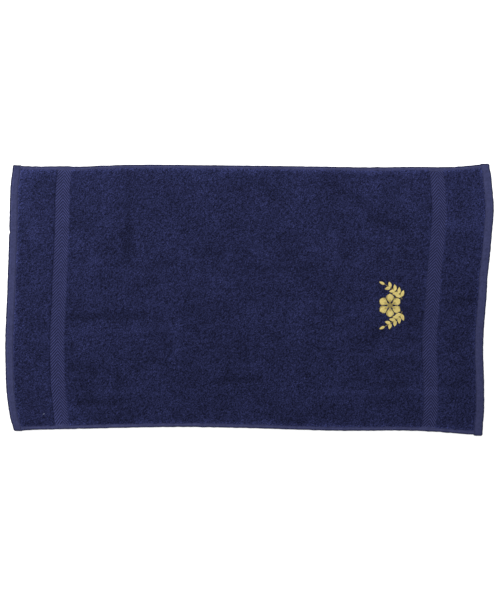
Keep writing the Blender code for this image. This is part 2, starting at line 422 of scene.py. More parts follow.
@dataclass(frozen=True)
class Crease:
    """Soft ridge, or trough where its height is negative, along a line, left by folding."""

    start: Place
    end: Place
    half_width: float
    height: float

    def reach(self, x: Array, y: Array) -> Array:
        """Bell over the line: 1 along its middle and 0 beyond its half width."""
        run = np.subtract(self.end, self.start)
        along = ((x - self.start[0]) * run[0] + (y - self.start[1]) * run[1]) / np.dot(run, run)
        along = np.clip(along, 0.0, 1.0)
        across = np.hypot(x - self.start[0] - along * run[0], y - self.start[1] - along * run[1])
        return np.clip(1.0 - (across / self.half_width) ** 2, 0.0, None) ** 2


@dataclass(frozen=True)
class Cloth:
    """The whole cloth: where each of its places lies on the floor, how its creases lift it, and the painted
    shade and light they get.
    """

    length: float = 1.262
    width: float = 0.716
    middle: Place = (0.0, 0.0005)
    front_corners: tuple[Place, Place] = ((-0.6270, -0.3470), (0.6200, -0.3592))
    back_corners: tuple[Place, Place] = ((-0.6300, 0.3572), (0.6380, 0.3602))
    notch_place: float = 0.535
    notch_half_width: float = 0.0055
    notch_reach: float = 0.006
    notch_depth: float = 0.0018
    front_drag: float = 0.0050
    drag_reach: float = 0.031
    drag_corner: float = 0.09
    full_fold: float = 0.0008
    fold_limit: float = 1.3

    def edges(self) -> tuple[BowedEdge, BowedEdge, BowedEdge, BowedEdge]:
        """Front, back, left and right edge."""
        (front_left, front_right), (back_left, back_right) = self.front_corners, self.back_corners
        return (
            BowedEdge(front_left, front_right, (0, -1), FRONT_BOW, seed=11, fringe=0.0008),
            BowedEdge(back_left, back_right, (0, 1), BACK_BOW, seed=12, fringe=0.0014),
            BowedEdge(front_left, back_left, (-1, 0), LEFT_BOW, seed=13, fringe=0.0015),
            BowedEdge(front_right, back_right, (1, 0), RIGHT_BOW, seed=14, fringe=0.0012),
        )

    def place(
        self, s: Array, t: Array, overhangs: tuple[Array | float, Array | float] = (0.0, 0.0)
    ) -> tuple[Array, Array]:
        """Where places of the cloth lie: a Coons patch between the four bowed edges.

        Args:
            s: Distance along the cloth.
            t: Distance across it.
            overhangs: How far the front and back edges stand out there.

        Returns:
            The places' x and y.
        """
        along, across = s / self.length, t / self.width
        front, back, left, right = self.edges()
        zero = np.zeros_like(along)
        fx, fy = front.points(along, zero + overhangs[0])
        bx, by = back.points(along, zero + overhangs[1])
        lx, ly = left.points(across, zero)
        rx, ry = right.points(across, zero)
        corners = (
            ((1 - along) * (1 - across), front.start),
            (along * (1 - across), front.end),
            ((1 - along) * across, back.start),
            (along * across, back.end),
        )
        x = (1 - across) * fx + across * bx + (1 - along) * lx + along * rx
        y = (1 - across) * fy + across * by + (1 - along) * ly + along * ry
        for share, corner in corners:
            x = x - share * corner[0]
            y = y - share * corner[1]
        dip = np.exp(-(((t - self.notch_place) / self.notch_half_width) ** 2) - s / self.notch_reach)
        from_corner = np.minimum(1.0, np.minimum(along, 1 - along) / self.drag_corner)
        drag = self.front_drag * from_corner**2 * np.exp(-((t / self.drag_reach) ** 2))
        return x - self.middle[0] + self.notch_depth * dip - drag, y - self.middle[1]

    def creases_with_painted_shade(self, x: Array, y: Array) -> tuple[Array, Array]:
        """Height of the creases, and their painted shade and light, from -1 in a trough to 1 on a ridge.

        Args:
            x: Places along X.
            y: Places along Y.

        Returns:
            The heights, and the painted shade in troughs and painted light on ridges.
        """
        height = np.zeros_like(x)
        for crease in CREASES:
            height = height + crease.height * crease.reach(x, y)
        # Painted shade in troughs and painted light on ridges, full at full_fold.
        return height, np.clip(height / self.full_fold, -self.fold_limit, self.fold_limit)


BACK_BOW = (
    (0.000, 0.0000), (0.058, -0.0026), (0.100, -0.0019), (0.142, -0.0033), (0.184, -0.0010),
    (0.226, 0.0007), (0.310, 0.0012), (0.394, -0.0001), (0.478, -0.0015), (0.561, -0.0029),
    (0.646, -0.0046), (0.730, -0.0067), (0.772, -0.0067), (0.814, -0.0063), (0.856, -0.0061),
    (0.898, -0.0070), (0.940, -0.0052), (0.982, -0.0004), (1.000, 0.0000),
)
FRONT_BOW = (
    (0.000, 0.0000), (0.014, 0.0000), (0.056, -0.0025), (0.099, -0.0040), (0.184, -0.0075),
    (0.270, -0.0110), (0.355, -0.0134), (0.441, -0.0132), (0.526, -0.0117), (0.612, -0.0093),
    (0.697, -0.0075), (0.783, -0.0088), (0.825, -0.0096), (0.868, -0.0090), (0.911, -0.0066),
    (0.953, -0.0028), (0.980, -0.0005), (1.000, 0.0000),
)
LEFT_BOW = (
    (0.000, 0.0000), (0.016, 0.0022), (0.038, 0.0076), (0.083, 0.0136), (0.128, 0.0178),
    (0.175, 0.0203), (0.245, 0.0215), (0.330, 0.0221), (0.400, 0.0204), (0.500, 0.0169),
    (0.590, 0.0143), (0.690, 0.0115), (0.785, 0.0094), (0.850, 0.0084), (0.900, 0.0071),
    (0.945, 0.0044), (0.985, 0.0004), (1.000, 0.0000),
)
RIGHT_BOW = (
    (0.000, 0.0000), (0.034, 0.0002), (0.100, 0.0027), (0.145, 0.0019), (0.210, 0.0003),
    (0.277, -0.0028), (0.333, -0.0040), (0.387, -0.0033), (0.453, -0.0009), (0.519, 0.0019),
    (0.585, 0.0033), (0.630, 0.0060), (0.695, 0.0098), (0.762, 0.0127), (0.806, 0.0149),
    (0.842, 0.0149), (0.872, 0.0131), (0.916, 0.0094), (0.960, 0.0053), (0.984, 0.0013),
    (1.000, 0.0000),
)
CREASES = (
    Crease((-0.318, 0.341), (-0.320, 0.180), 0.014, -0.0007),
    Crease((-0.324, 0.175), (-0.322, 0.105), 0.026, -0.0009),
    Crease((-0.418, 0.110), (-0.417, 0.076), 0.024, 0.0009),
    Crease((-0.284, 0.069), (-0.196, 0.074), 0.016, 0.0007),
    Crease((-0.478, -0.046), (-0.284, -0.043), 0.019, -0.0009),
    Crease((-0.473, -0.086), (-0.200, -0.080), 0.020, 0.0007),
    Crease((-0.194, -0.067), (-0.198, -0.146), 0.017, 0.0006),
    Crease((-0.470, -0.173), (-0.412, -0.190), 0.021, -0.0008),
    Crease((-0.350, -0.190), (-0.345, -0.226), 0.022, -0.0009),
    Crease((-0.452, -0.272), (-0.332, -0.271), 0.019, -0.0008),
    Crease((-0.252, -0.155), (-0.217, -0.176), 0.018, -0.0007),
    Crease((-0.092, -0.216), (0.022, -0.211), 0.017, -0.0007),
    Crease((0.214, -0.250), (0.600, -0.243), 0.019, 0.0008),
    Crease((0.347, -0.139), (0.459, -0.146), 0.018, 0.0007),
    Crease((0.334, -0.176), (0.390, -0.173), 0.018, -0.0008),
    Crease((-0.012, 0.085), (0.166, 0.084), 0.018, -0.0006),
    Crease((0.228, 0.173), (0.233, 0.101), 0.018, 0.0008),
    Crease((0.329, 0.218), (0.409, 0.192), 0.022, -0.0009),
    Crease((0.241, 0.287), (0.307, 0.258), 0.020, -0.0007),
    Crease((0.033, 0.306), (0.060, 0.274), 0.022, -0.0006),
    Crease((-0.571, 0.200), (-0.563, 0.160), 0.024, 0.0007),
    Crease((0.534, 0.200), (0.600, 0.198), 0.024, 0.0007),
    Crease((0.534, -0.002), (0.600, -0.001), 0.020, -0.0007),
    Crease((0.608, 0.325), (0.610, 0.175), 0.019, 0.0006),
    Crease((-0.605, -0.300), (-0.520, -0.318), 0.036, 0.0008),
    Crease((-0.590, 0.305), (-0.585, 0.180), 0.030, 0.0005),
)


@dataclass
class Tufts:
    """Heights of the pile's tufts over the cloth: short round-topped clumps of loops, laid at random."""

    cloth: Cloth
    cell: float = 0.00085
    margin: int = 12
    cover: float = 1.7
    tuft_area: float = 11.5e-6
    lean: float = 0.85
    lean_share: float = 0.58
    lean_spread: float = 0.45
    half_lengths: Place = (0.0003, 0.0026)
    radii: Place = (0.0009, 0.0015)
    tallness: Place = (0.40, 1.0)
    batches: int = 16
    seed: int = 5
    heights: Array = field(init=False)

    def __post_init__(self) -> None:
        """Draws the tufts, in batches, on a fine grid on which the highest one shows."""
        shape = [int(side / self.cell) + 2 * self.margin for side in (self.cloth.length, self.cloth.width)]
        self.heights = np.zeros(shape)
        rng = np.random.default_rng(self.seed)
        count = int(self.cover * self.cloth.length * self.cloth.width / self.tuft_area)
        centre_s = rng.uniform(0.0, self.cloth.length, count)
        centre_t = rng.uniform(0.0, self.cloth.width, count)
        angle = np.where(rng.random(count) < self.lean_share, self.lean, -self.lean)
        angle = angle + rng.normal(0.0, self.lean_spread, count)
        half_length, radius, height = (
            rng.uniform(*limits, count) for limits in (self.half_lengths, self.radii, self.tallness)
        )
        reach = math.ceil((self.half_lengths[1] + self.radii[1]) / self.cell)
        steps = np.arange(-reach, reach + 1)
        for batch in np.array_split(np.arange(count), self.batches):
            s, t, turn, half, round_part, tall = (
                values[batch, None, None]
                for values in (centre_s, centre_t, angle, half_length, radius, height)
            )
            i = (s / self.cell).astype(int) + steps[None, :, None]
            j = (t / self.cell).astype(int) + steps[None, None, :]
            ds, dt = i * self.cell - s, j * self.cell - t
            lengthways = np.abs(ds * np.cos(turn) + dt * np.sin(turn)) - half
            sideways = dt * np.cos(turn) - ds * np.sin(turn)
            away = np.hypot(np.clip(lengthways, 0.0, None), sideways) / round_part
            bump = tall * np.sqrt(np.clip(1.0 - away**2, 0.0, None))
            i, j = np.broadcast_arrays(i + self.margin, j + self.margin)
            np.maximum.at(self.heights, (i, j), bump)
        self.heights = self._softened(self.heights)

    @staticmethod
    def _softened(field_of_heights: Array) -> Array:
        """Each cell blended with its neighbours."""
        for axis in (0, 1):
            before, after = np.roll(field_of_heights, 1, axis), np.roll(field_of_heights, -1, axis)
            field_of_heights = 0.5 * field_of_heights + 0.25 * (before + after)
        return field_of_heights

    def at(self, s: Array, t: Array) -> Array:
        """Heights at places of the cloth, from 0 to 1.

        Args:
            s: Distance along the cloth.
            t: Distance across it.

        Returns:
            The heights.
        """
        u = np.clip(s / self.cell + self.margin, 0, self.heights.shape[0] - 2)
        v = np.clip(t / self.cell + self.margin, 0, self.heights.shape[1] - 2)
        i, j = u.astype(int), v.astype(int)
        a, b = u - i, v - j
        near = self.heights[i, j] * (1 - b) + self.heights[i, j + 1] * b
        far = self.heights[i + 1, j] * (1 - b) + self.heights[i + 1, j + 1] * b
        return near * (1 - a) + far * a


@dataclass
class BakeMap:
    """Flat map of a block's faces, on which a long block is cut into rows laid side by side."""

    s: Array
    t: Array
    coarse: int
    gap: float = 0.002
    wall: float = 0.006
    fill: float = 0.99

    def __post_init__(self) -> None:
        """Works out the rows and the scale."""
        self.lengthways = bool(self.s[-1] - self.s[0] >= self.t[-1] - self.t[0])
        long_line, short_line = (self.s, self.t) if self.lengthways else (self.t, self.s)
        self.long_line = long_line - long_line[0]
        self.short_line = short_line - short_line[0]
        self.strip = self.short_line[-1] + self.gap
        self.depth = 2 * self.strip + 4 * (self.wall + self.gap)
        last = len(self.long_line) - 1
        rows = max(1, round(math.sqrt(self.long_line[-1] / self.depth)))
        self.per_row = math.ceil(last / rows / self.coarse) * self.coarse
        self.rows = math.ceil(last / self.per_row)
        starts = np.arange(self.rows) * self.per_row
        lengths = self.long_line[np.minimum(starts + self.per_row, last)] - self.long_line[starts]
        longest = max(lengths.max() + self.gap, self.strip + self.gap, self.depth * self.rows)
        self.scale = self.fill / longest

    def corners(self, i: Array, j: Array, counts: Array, level: Array, wall: Array) -> Array:
        """Places of the corners of faces that follow one another.

        Args:
            i: Each corner's number along the cloth.
            j: Each corner's number across it.
            counts: How many corners each face has.
            level: For each corner, 0 on the face that shows, 1 on the underside, 2 and 3 on the long sides
                and 4 and 5 on the ends.
            wall: For each corner of a side or end, its height.

        Returns:
            Places in the unit square.
        """
        longs, shorts = (i, j) if self.lengthways else (j, i)
        first = np.minimum.reduceat(longs, np.cumsum(counts) - counts)
        row = np.repeat(np.minimum(first // self.per_row, self.rows - 1), counts)
        along = self.long_line[longs] - self.long_line[row * self.per_row]
        along = np.where(level > 3, self.short_line[shorts], along)
        beside = 2 * self.strip + (level - 2) * (self.wall + self.gap) + wall
        across = np.where(level < 2, level * self.strip + self.short_line[shorts], beside)
        places = np.stack([row * self.depth + self.gap / 2 + across, self.gap / 2 + along], axis=-1)
        return self.scale * places


def carried(
    name: str,
    points: Array,
    faces: list[list[int]],
    places: Array,
    material: bpy.types.Material,
) -> bpy.types.Object:
    """Makes a smooth piece that rides on the towel's body in place of the plain solid.

    Args:
        name: The piece's name.
        points: Its points.
        faces: The numbers of each face's points.
        places: Where each corner of the faces lies on the bake map.
        material: Its finish.

    Returns:
        The piece.
    """
    mesh = bpy.data.meshes.new(name)
    mesh.from_pydata(points.tolist(), [], faces)
    mesh.uv_layers.new(name=BAKE_MAP).data.foreach_set("uv", places.astype(np.float32).ravel())
    mesh.shade_smooth()
    mesh.materials.append(material)
    piece = bpy.data.objects.new(name, mesh)
    bpy.context.scene.collection.objects.link(piece)
    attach(piece, BODY)
    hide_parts(NODE)
    triangles = sum(len(polygon.vertices) - 2 for polygon in mesh.polygons)
    LOG.info("%s: %d triangles", name, triangles)
    return piece


@dataclass
class Block:
    """Closed piece of cloth: a grid of points on the face that shows, and the heights of its underside."""

    name: str
    s: Array
    t: Array
    top: Array
    underside: Array
    relief_painted_shade: Array
    painted_crease_shade: Array
    normals: Array | None = None
    coarse: int = 8

    def coarse_lines(self, count: int) -> list[int]:
        """Numbers of the grid's lines that the underside's inner faces use."""
        return [*range(0, count - 1 - self.coarse // 2, self.coarse), count - 1]

    def ring(self) -> NDArray[np.int64]:
        """Numbers of the grid's places round its edge, with the number of the side that each begins."""
        last_i, last_j = len(self.s) - 1, len(self.t) - 1
        front = [(i, 0, 0) for i in range(last_i)]
        right = [(last_i, j, 1) for j in range(last_j)]
        back = [(i, last_j, 2) for i in range(last_i, 0, -1)]
        left = [(0, j, 3) for j in range(last_j, 0, -1)]
        return np.array(front + right + back + left)

    def underside_faces(self) -> list[list[tuple[int, int]]]:
        """Faces of the underside: coarse cells, with each point of the rim in the cells along it."""
        last_i, last_j = len(self.s) - 1, len(self.t) - 1
        lines_i, lines_j = self.coarse_lines(len(self.s)), self.coarse_lines(len(self.t))
        faces = []
        for i0, i1 in zip(lines_i, lines_i[1:]):
            for j0, j1 in zip(lines_j, lines_j[1:]):
                front = [(i, j0) for i in (range(i0, i1) if j0 == 0 else (i0,))]
                right = [(i1, j) for j in (range(j0, j1) if i1 == last_i else (j0,))]
                back = [(i, j1) for i in (range(i1, i0, -1) if j1 == last_j else (i1,))]
                left = [(i0, j) for j in (range(j1, j0, -1) if i0 == 0 else (j1,))]
                faces.append((front + right + back + left)[::-1])
        return faces

    def build(self, material: bpy.types.Material) -> bpy.types.Object:
        """Makes the piece.

        Args:
            material: Its finish.

        Returns:
            The piece.
        """
        columns, rows = len(self.s), len(self.t)
        number = np.arange(columns * rows).reshape(columns, rows)
        quads = np.stack([number[:-1, :-1], number[1:, :-1], number[1:, 1:], number[:-1, 1:]], axis=-1)
        quads = quads.reshape(-1, 4)
        cells = self.underside_faces()
        cell_corners = np.array([i * rows + j for cell in cells for i, j in cell])
        cell_counts = np.array([len(cell) for cell in cells])
        ring = self.ring()
        here = ring[:, 0] * rows + ring[:, 1]
        there = np.roll(here, -1)

        low_numbers = np.unique(np.concatenate([cell_corners, here]))
        low = np.full(columns * rows, -1)
        low[low_numbers] = columns * rows + np.arange(len(low_numbers))
        bottom = self.top.reshape(-1, 3)[low_numbers]
        bottom[:, 2] = self.underside.ravel()[low_numbers]
        points = np.concatenate([self.top.reshape(-1, 3), bottom])
        walls = np.stack([low[here], low[there], there, here], axis=-1)
        faces = quads.tolist()
        faces += [[int(low[i * rows + j]) for i, j in cell] for cell in cells]
        faces += walls.tolist()

        bake_map = BakeMap(self.s, self.t, self.coarse)
        side = np.repeat(ring[:, 2], 4)
        wall_level = 2 + side // 2 + 2 * ((side % 2 == 1) == bake_map.lengthways)
        wall_corners = np.stack([here, there, there, here], axis=-1).ravel()
        corners = np.concatenate([quads.ravel(), cell_corners, wall_corners])
        level = np.concatenate([np.zeros(quads.size, int), np.ones(len(cell_corners), int), wall_level])
        wall = np.concatenate([np.zeros(quads.size + len(cell_corners)), points[walls.ravel()][:, 2]])
        counts = np.concatenate([np.full(len(quads), 4), cell_counts, np.full(len(ring), 4)])
        places = bake_map.corners(corners // rows, corners % rows, counts, level, wall)

        piece = carried(self.name, points, faces, places, material)
        for name, values in (("relief_painted_shade", self.relief_painted_shade), ("painted_crease_shade", self.painted_crease_shade)):
            layer = piece.data.attributes.new(name, "FLOAT", "POINT")
            everywhere = np.concatenate([values.ravel(), values.ravel()[low_numbers]])
            layer.data.foreach_set("value", everywhere.astype(np.float32))
        if self.normals is not None:
            downwards = np.tile((0.0, 0.0, -1.0), (len(bottom), 1))
            normals = np.concatenate([self.normals.reshape(-1, 3), downwards])
            piece.data.normals_split_custom_set_from_vertices(normals.tolist())
        return piece


@dataclass(frozen=True)
class Thread:
    """How a thread lies: its radius, the rise of its middle and the lift of its two ends."""

    radius: float
    rise: float
    lifts: Place = (0.0, 0.0)


@dataclass
class ThreadBundle:
    """Many short threads, each a tube over a soft rise from one point to another."""

    name: str
    rings: int = 4
    sides: int = 5
    end_taper: float = 0.55
    tube_map: Place = (0.70, 0.94)
    map_edge: float = 0.02
    disc_radius: float = 0.09
    disc_shifts: tuple[Place, Place] = ((0.34, -0.30), (0.34, 0.20))
    laid: list[tuple[Point, Point, float, float]] = field(default_factory=list)

    def lay(self, start: Point, end: Point, thread: Thread) -> None:
        """Adds a thread from start to end."""
        first, last = ((x, y, z + lift) for (x, y, z), lift in zip((start, end), thread.lifts))
        self.laid.append((first, last, thread.radius, thread.rise))

    def map_places(self) -> Array:
        """Places on the bake map of the corners of the tubes and of their ends, a cell for each thread."""
        count = len(self.laid)
        across = math.ceil(math.sqrt(count))
        cell = 1.0 / across
        corner = np.stack([np.arange(count) % across, np.arange(count) // across], axis=-1) * cell
        u = np.arange(self.rings) / (self.rings - 1) * self.tube_map[0]
        v = np.arange(self.sides + 1) / self.sides * self.tube_map[1]
        low, high = np.meshgrid(np.arange(self.rings - 1), np.arange(self.sides), indexing="ij")
        quad = ((0, 0), (1, 0), (1, 1), (0, 1))
        patch = np.stack([np.stack([u[low + i], v[high + j]], -1) for i, j in quad], axis=2)[:, :, ::-1]
        places = [corner[:, None, None, None] + cell * (self.map_edge + patch[None])]
        turn = 2 * math.pi * np.arange(self.sides) / self.sides
        disc = self.disc_radius * np.stack([np.cos(turn), np.sin(turn)], axis=-1) + 0.5
        for outline, shift in zip((disc, disc[::-1]), self.disc_shifts):
            places.append(corner[:, None] + cell * (outline + shift))
        return np.concatenate([part.reshape(-1, 2) for part in places])

    def build(self, material: bpy.types.Material) -> None:
        """Makes the piece of all the threads.

        Args:
            material: Its finish.
        """
        start, end, radius, rise = (np.array(values) for values in zip(*self.laid))
        count, rings, sides = len(start), self.rings, self.sides
        share = np.linspace(0.0, 1.0, rings)
        centre = start[:, None] + share[None, :, None] * (end - start)[:, None]
        centre[:, :, 2] += rise[:, None] * 4 * share * (1 - share)
        along = (end - start) / np.linalg.norm(end - start, axis=1, keepdims=True)
        sideways = np.cross((0.0, 0.0, 1.0), along)
        sideways /= np.linalg.norm(sideways, axis=1, keepdims=True)
        upwards = np.cross(along, sideways)
        turn = (2 * math.pi * np.arange(sides) / sides)[None, :, None]
        taper = np.where((share == 0) | (share == 1), self.end_taper, 1.0)
        spoke = np.cos(turn) * sideways[:, None] + np.sin(turn) * upwards[:, None]
        points = centre[:, :, None] + (radius[:, None] * taper)[:, :, None, None] * spoke[:, None]

        number = np.arange(count * rings * sides).reshape(count, rings, sides)
        turned = np.roll(number, -1, axis=2)
        quads = np.stack([number[:, :-1], number[:, 1:], turned[:, 1:], turned[:, :-1]], axis=-1)
        faces = quads[..., ::-1].reshape(-1, 4).tolist()
        faces += number[:, 0, :].tolist() + number[:, -1, ::-1].tolist()
        carried(self.name, points.reshape(-1, 3), faces, self.map_places(), material)


class Satin(Enum):
    """How a shape of the embroidery is filled."""

    LEAF = "two slanted halves that meet on a rib"
    PETAL = "threads from side to side"


@dataclass(frozen=True)
class SatinShape:
    """One leaf or petal of satin stitches, in the motif's own up and right directions."""

    kind: Satin
    base: Place
    tip: Place
    half_width: float
    fullest: float = 0.45
    bluntness: float = 0.75

    def edge(self, share: Array) -> Array:
        """Half width at shares of the way from base to tip."""
        power = math.log(0.5) / math.log(self.fullest)
        return self.half_width * np.sin(math.pi * np.clip(share, 0.0, 1.0) ** power) ** self.bluntness

    def covers(self, up: Array, right: Array, margin: float) -> Array:
        """Where the shape lies on the cloth, with a margin round it.

        Args:
            up: Places in the motif's up direction.
            right: Places in its right direction.
            margin: Distance beyond the shape that counts as covered.

        Returns:
            1 well inside the shape, falling to 0 at the margin.
        """
        run = np.subtract(self.tip, self.base)
        length = float(np.hypot(*run))
        along = ((up - self.base[0]) * run[0] + (right - self.base[1]) * run[1]) / length**2
        across = np.abs((right - self.base[1]) * run[0] - (up - self.base[0]) * run[1]) / length
        beyond = np.clip(np.maximum(-along, along - 1.0), 0.0, None) * length
        return smooth_step(1.0 - (np.clip(across - self.edge(along), 0.0, None) + beyond) / margin)


@dataclass
class Spray:
    """Gold embroidery: a blossom between two arched sprays of leaves, raised a little above pressed pile.

    Its places are given up and right of its centre, and its up direction is the towel's -X.
    """

    centre: Place = (0.3740, -0.0150)
    pile_height: float = 0.0027
    thread_height: float = 0.0033
    pitch: float = 0.00085
    end_gap: float = 0.4
    margin: float = 0.0022
    stem_points: int = 25
    stem_start: Place = (-0.032, 0.016)
    stem_run: Place = (0.046, 0.040)
    stem_arch: float = 1.8
    stem_stitch: int = 3
    stem_lean: float = 0.00035
    stem_thread: Thread = Thread(0.00065, 0.0005)
    stem_press: float = 1.4
    leaf_pairs: int = 4
    first_leaf: int = 4
    leaf_spacing: int = 5
    leaf_length: float = 0.0190
    leaf_shortening: float = 0.0010
    leaf_half_width: float = 0.0046
    leaf_turn: float = 0.80
    leaf_slant: float = 0.22
    leaf_thread: Thread = Thread(0.00052, 0.0006, (0.0003, 0.0))
    end_leaf_length: float = 0.016
    end_leaf_half_width: float = 0.0036
    petals: int = 6
    petal_span: Place = (0.0060, 0.0310)
    petal_half_width: float = 0.0105
    petal_fullest: float = 0.62
    petal_thread: Thread = Thread(0.00052, 0.0009)
    vein_leans: tuple[float, ...] = (-0.0024, 0.0, 0.0024)
    vein_span: Place = (0.12, 0.55)
    vein_shortening: float = 40.0
    vein_closeness: float = 0.4
    vein_thread: Thread = Thread(0.0005, 0.0004, (0.0011, 0.0007))
    heart_radius: float = 0.0072
    heart_fill: float = 0.9
    heart_thread: Thread = Thread(0.00052, 0.0011, (0.0004, 0.0004))
    shortest: float = 0.00104

    def stem(self, side: int) -> list[Place]:
        """Points of the arched stem on one side, from the blossom to its end."""
        shares = np.linspace(0.0, 1.0, self.stem_points)
        right = side * (self.stem_start[1] + self.stem_run[1] * shares)
        up = self.stem_start[0] + self.stem_run[0] * shares**self.stem_arch
        return list(zip(up.tolist(), right.tolist()))

    @staticmethod
    def ahead(place: Place, turn: float, length: float) -> Place:
        """Place at a length from another, in the direction of a turn."""
        return (place[0] + length * math.cos(turn), place[1] + length * math.sin(turn))

    def shapes(self) -> list[SatinShape]:
        """All the leaves and petals."""
        made = []
        for number in range(self.petals):
            turn = 2 * math.pi * (number + 0.5) / self.petals
            base, tip = (self.ahead((0.0, 0.0), turn, reach) for reach in self.petal_span)
            made.append(SatinShape(Satin.PETAL, base, tip, self.petal_half_width, self.petal_fullest))
        for side in (-1, 1):
            stem = self.stem(side)
            for number in range(self.leaf_pairs):
                index = self.first_leaf + self.leaf_spacing * number
                (up0, right0), (up1, right1) = stem[index - 1], stem[index + 1]
                heading = math.atan2(right1 - right0, up1 - up0)
                length = self.leaf_length - self.leaf_shortening * number
                for lean in (-1, 1):
                    tip = self.ahead(stem[index], heading + lean * side * self.leaf_turn, length)
                    made.append(SatinShape(Satin.LEAF, stem[index], tip, self.leaf_half_width))
            last, before = stem[-1], stem[-2]
            tip = self.ahead(last, math.atan2(last[1] - before[1], last[0] - before[0]), self.end_leaf_length)
            made.append(SatinShape(Satin.LEAF, last, tip, self.end_leaf_half_width))
        return made

    def pressed(self, x: Array, y: Array) -> Array:
        """Where the stitches press the pile down.

        Args:
            x: Places along X.
            y: Places along Y.

        Returns:
            1 under the stitches and 0 away from them.
        """
        up, right = self.centre[0] - x, y - self.centre[1]
        cover = smooth_step(1.0 - (np.hypot(up, right) - self.heart_radius) / self.margin)
        for shape in self.shapes():
            cover = np.maximum(cover, shape.covers(up, right, self.margin))
        for place in self.stem(-1) + self.stem(1):
            near = smooth_step(self.stem_press - np.hypot(up - place[0], right - place[1]) / self.margin)
            cover = np.maximum(cover, near)
        return cover

    def stitch(self, bundle: ThreadBundle, start: Place, end: Place, thread: Thread) -> None:
        """Lays one thread between two places of the motif, unless it is too short to show.

        Args:
            bundle: The threads that it joins.
            start: Where it starts.
            end: Where it ends.
            thread: How it lies.
        """
        if math.dist(start, end) >= self.shortest:
            first, last = (
                (self.centre[0] - up, self.centre[1] + right, self.thread_height)
                for up, right in (start, end)
            )
            bundle.lay(first, last, thread)

    def fill(self, bundle: ThreadBundle, shape: SatinShape) -> None:
        """Lays one shape's threads in a bundle."""
        base, run = np.array(shape.base), np.subtract(shape.tip, shape.base)
        length = float(np.hypot(*run))
        run = run / length
        normal = np.array((-run[1], run[0]))
        end_gap = self.end_gap * self.pitch
        for place in evenly(end_gap, length - end_gap, self.pitch):
            if shape.kind is Satin.PETAL:
                out = float(shape.edge(place / length)) * normal
                start, end = base + place * run - out, base + place * run + out
                self.stitch(bundle, start, end, self.petal_thread)
                continue
            for side in (-1, 1):
                far = min(place + self.leaf_slant * length, length)
                out = side * float(shape.edge(far / length)) * normal
                self.stitch(bundle, base + place * run, base + far * run + out, self.leaf_thread)

    def vein(self, shape: SatinShape, lean: float) -> tuple[Array, Array]:
        """Two ends of a petal's vein, which leans to one side at its far end."""
        base, run = np.array(shape.base), np.subtract(shape.tip, shape.base)
        sideways = lean * np.array((-run[1], run[0])) / float(np.hypot(*run))
        near, far = self.vein_span
        far = far - self.vein_shortening * abs(lean)
        return base + near * run + self.vein_closeness * sideways, base + far * run + sideways

    def build(self, light: bpy.types.Material, dark: bpy.types.Material) -> None:
        """Makes the embroidery.

        Args:
            light: Thread of the petals and leaves.
            dark: Thread of the stems and the blossom's heart.
        """
        petals, leaves = ThreadBundle("embroidered_petals"), ThreadBundle("embroidered_leaves")
        stems, heart = ThreadBundle("embroidered_stems"), ThreadBundle("embroidered_heart")
        for shape in self.shapes():
            self.fill(petals if shape.kind is Satin.PETAL else leaves, shape)
        for side in (-1, 1):
            stem = self.stem(side)
            for number, ((up0, right0), (up1, right1)) in enumerate(zip(stem, stem[self.stem_stitch:])):
                lean = self.stem_lean if number % 2 else -self.stem_lean
                self.stitch(stems, (up0 + lean, right0), (up1 - lean, right1), self.stem_thread)
        for shape in self.shapes():
            for lean in self.vein_leans if shape.kind is Satin.PETAL else ():
                self.stitch(stems, *self.vein(shape, lean), self.vein_thread)
        reach = self.heart_fill * self.heart_radius
        for place in evenly(-reach, reach, self.pitch):
            half = math.sqrt(self.heart_radius**2 - place**2)
            self.stitch(heart, (place, -half), (place, half), self.heart_thread)
        for bundle, material in ((petals, light), (leaves, light), (stems, dark), (heart, dark)):
            bundle.build(material)


@dataclass(frozen=True)
class Shoulder:
    """How the pile falls off towards one side of its area, and how it thins and pales there."""

    reach: float
    drop: float
    paleness: float
    fade: float

    def fall(self, gap: Array) -> Array:
        """Depth below the open pile at a distance from the side."""
        near = np.clip(gap / self.reach, 0.0, 1.0)
        return self.drop * (1.0 - np.sqrt(1.0 - (1.0 - near) ** 2))

    def pale(self, gap: Array) -> Array:
        """Paleness at a distance from the side."""
        return self.paleness * np.exp(-gap / self.fade)


BESIDE_BAND = Shoulder(0.0034, 0.0022, 0.10, 0.0050)
BESIDE_END_HEM = Shoulder(0.0070, 0.0014, 0.50, 0.0042)
BESIDE_FRONT_HEM = Shoulder(0.0060, 0.0015, 1.00, 0.0032)
BESIDE_BACK_HEM = Shoulder(0.0060, 0.0015, 0.60, 0.0075)


